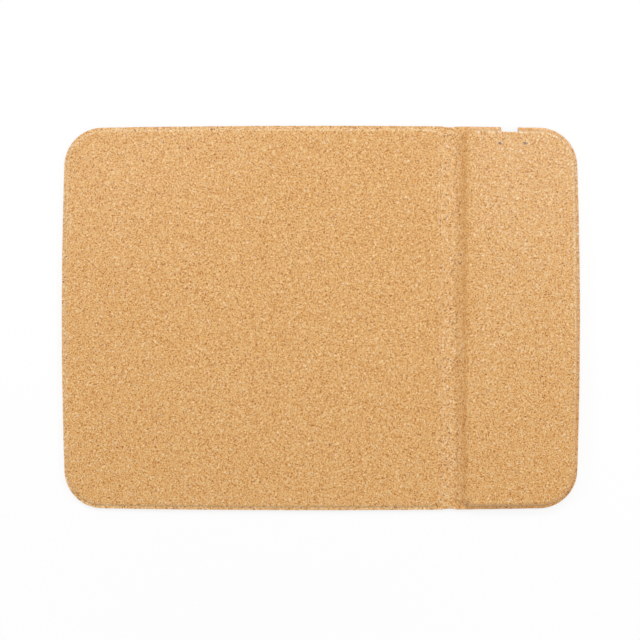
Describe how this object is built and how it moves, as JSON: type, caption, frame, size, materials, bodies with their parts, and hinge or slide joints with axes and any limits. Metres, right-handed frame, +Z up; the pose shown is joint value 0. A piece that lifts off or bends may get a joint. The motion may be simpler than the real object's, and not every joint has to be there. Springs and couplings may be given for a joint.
{
  "type": "mouse pad",
  "caption": "Cork-covered mouse pad with a raised wireless charging panel along one side, joined by a flat strip at which the mat folds shut like a book.",
  "frame": {"origin": "on the desk, under the middle of the open mat's box", "axes": "+X from the mouse pad towards the charging panel, +Y towards the edge with the USB port, +Z up"},
  "size_m": [0.31, 0.23, 0.007],
  "materials": {
    "cork": "pressed cork granules, matt",
    "base": "fine grained non-slip sheet, matt",
    "grey_board": "dense pressed grey board",
    "case_plastic": "fine spark texture",
    "ferrite": "sintered, matt",
    "tape": "thin double-sided tape",
    "copper_wire": "enamelled copper",
    "board": "green solder mask",
    "steel": "plated, bright",
    "chip": "moulded black",
    "capacitor": "smooth tan ceramic",
    "lens": "smoky clear",
    "led": "white diffuser"
  },
  "bodies": {
    "mouse_pad": {"pad_cork_top": "cork", "pad_core_board": "grey_board", "pad_base_sheet": "base"},
    "fold_strip": {"fold_cork_strip": "cork", "fold_base_strip": "base"},
    "charger_panel": {"charger_cork_top": "cork", "charger_base_sheet": "base", "charger_tray": "case_plastic", "charger_lid": "case_plastic", "ferrite_plate": "ferrite", "ferrite_tape": "tape", "charging_coil": "copper_wire", "circuit_board": "board", "usb_c_shell": "steel", "usb_c_tongue": "chip", "light_pipe_left": "lens", "light_pipe_right": "lens", "led_left": "led", "led_right": "led", "controller_chip": "chip", "bridge_chip_left": "chip", "bridge_chip_right": "chip", "resonance_capacitor_1": "capacitor", "resonance_capacitor_2": "capacitor", "resonance_capacitor_3": "capacitor", "resonance_capacitor_4": "capacitor", "input_capacitor_left": "capacitor", "input_capacitor_right": "capacitor", "sense_resistor": "chip"}
  },
  "joints": [
    {"name": "pad_crease", "type": "hinge", "parent": "mouse_pad", "child": "fold_strip", "pos_m": [0.0737, 0, 0.002], "axis": [0, -1, 0], "range_deg": [0, 90]},
    {"name": "charger_crease", "type": "hinge", "parent": "fold_strip", "child": "charger_panel", "pos_m": [0.0804, 0, 0.002], "axis": [0, -1, 0], "range_deg": [0, 90]}
  ],
  "couplings": [
    {"joint": "charger_crease", "follows": "pad_crease", "ratio": 1}
  ]
}
